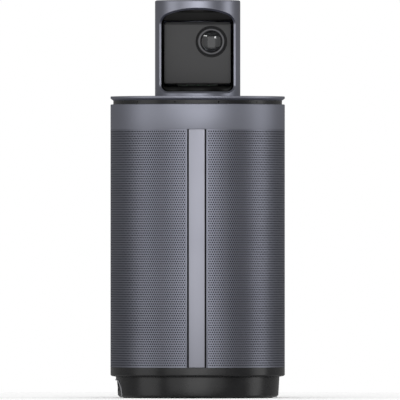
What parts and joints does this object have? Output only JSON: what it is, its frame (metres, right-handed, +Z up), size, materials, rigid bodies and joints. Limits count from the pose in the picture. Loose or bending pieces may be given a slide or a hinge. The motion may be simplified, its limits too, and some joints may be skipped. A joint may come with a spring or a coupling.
{
  "type": "ptz camera",
  "caption": "Tabletop conference camera: perforated round speaker body on a black base, flat deck, and a round head that pans and holds a tilting camera block.",
  "frame": {"origin": "centre of the underside, where the rubber foot meets the table", "axes": "+Z up along the round body; the front, with the camera window at rest, faces -Y; +X is to the viewer's right"},
  "size_m": [0.112, 0.112, 0.255],
  "materials": {
    "foot_rubber": "matte",
    "black_plastic": "fine textured",
    "steel": "satin",
    "dark_parts": "smooth",
    "circuit_board": "solder mask",
    "cone_paper": "pressed pulp",
    "copper": "wound",
    "cloth": "woven",
    "grille_metal": "satin metallic",
    "strip_metal": "satin metallic",
    "shell_metal": "satin metallic",
    "aluminium": "extruded",
    "brass": "turned",
    "gear_plastic": "moulded",
    "button_plastic": "smooth",
    "liner_plastic": "polished",
    "bezel_plastic": "fine satin",
    "lens_metal": "anodised",
    "lens_glass": "coated",
    "sensor_glass": "polished"
  },
  "bodies": {
    "base": {"rubber_foot": "foot_rubber", "bottom_plate": "black_plastic", "bottom_screws": "steel", "base_cup": "black_plastic", "port_panel": "black_plastic", "power_jack": "dark_parts", "usb_port": "steel", "audio_jack": "dark_parts", "port_board": "circuit_board", "base_ring": "black_plastic", "chassis": "black_plastic", "diffuser_cone": "black_plastic", "driver_basket": "black_plastic", "driver_surround": "foot_rubber", "driver_cone": "cone_paper", "voice_coil": "copper", "driver_magnet": "steel", "speaker_enclosure": "black_plastic", "cloth_liner": "cloth", "grille_sleeve": "grille_metal", "front_strip": "strip_metal", "upper_band": "shell_metal", "main_board": "circuit_board", "heat_sink": "aluminium", "gear_plate": "black_plastic", "pan_motor": "steel", "top_frame": "black_plastic", "pan_bushing": "brass", "mic_board": "circuit_board", "microphones": "brass", "neck_ring": "black_plastic", "deck_plate": "shell_metal", "thrust_washer": "gear_plastic", "button_switches": "steel"},
    "head": {"head_turntable": "black_plastic", "pan_gear": "gear_plastic", "spindle_clip": "steel", "head_shell": "shell_metal", "window_liner": "liner_plastic", "tilt_bracket": "steel", "tilt_motor": "steel", "head_board": "circuit_board"},
    "camera_block": {"camera_bezel": "bezel_plastic", "camera_housing": "black_plastic", "tilt_pins": "steel", "tilt_gear": "gear_plastic", "lens_ring": "lens_metal", "lens_barrel": "dark_parts", "front_lens": "lens_glass", "middle_lens": "lens_glass", "rear_lens": "lens_glass", "iris_plate": "dark_parts", "sensor_board": "circuit_board", "image_sensor": "sensor_glass"},
    "pan_pinion": {"pan_pinion": "brass"},
    "tilt_pinion": {"tilt_pinion": "brass"},
    "call_button": {"call_button": "button_plastic"},
    "volume_down_button": {"volume_down_button": "button_plastic"},
    "volume_up_button": {"volume_up_button": "button_plastic"},
    "mute_button": {"mute_button": "button_plastic"}
  },
  "joints": [
    {"name": "pan", "type": "hinge", "parent": "base", "child": "head", "pos_m": [0, 0, 0.21], "axis": [0, 0, 1], "range_deg": [-170, 170]},
    {"name": "tilt", "type": "hinge", "parent": "head", "child": "camera_block", "pos_m": [0, 0, 0.2211], "axis": [-1, 0, 0], "range_deg": [-30, 30]},
    {"name": "pan_pinion_spin", "type": "hinge", "parent": "base", "child": "pan_pinion", "pos_m": [0, 0.03, 0.18], "axis": [0, 0, 1], "range_deg": [-690, 690]},
    {"name": "tilt_pinion_spin", "type": "hinge", "parent": "head", "child": "tilt_pinion", "pos_m": [0, 0.012, 0.2211], "axis": [-1, 0, 0], "range_deg": [-95, 95]},
    {"name": "call_button_press", "type": "slide", "parent": "base", "child": "call_button", "axis": [0, 0, -1], "range_m": [0, 0.0004], "stiffness_N_per_m": 900, "springref_m": -0.0004},
    {"name": "volume_down_button_press", "type": "slide", "parent": "base", "child": "volume_down_button", "axis": [0, 0, -1], "range_m": [0, 0.0004], "stiffness_N_per_m": 900, "springref_m": -0.0004},
    {"name": "volume_up_button_press", "type": "slide", "parent": "base", "child": "volume_up_button", "axis": [0, 0, -1], "range_m": [0, 0.0004], "stiffness_N_per_m": 900, "springref_m": -0.0004},
    {"name": "mute_button_press", "type": "slide", "parent": "base", "child": "mute_button", "axis": [0, 0, -1], "range_m": [0, 0.0004], "stiffness_N_per_m": 900, "springref_m": -0.0004}
  ],
  "couplings": [
    {"joint": "pan_pinion_spin", "follows": "pan", "ratio": -4},
    {"joint": "tilt_pinion_spin", "follows": "tilt", "ratio": -3}
  ]
}
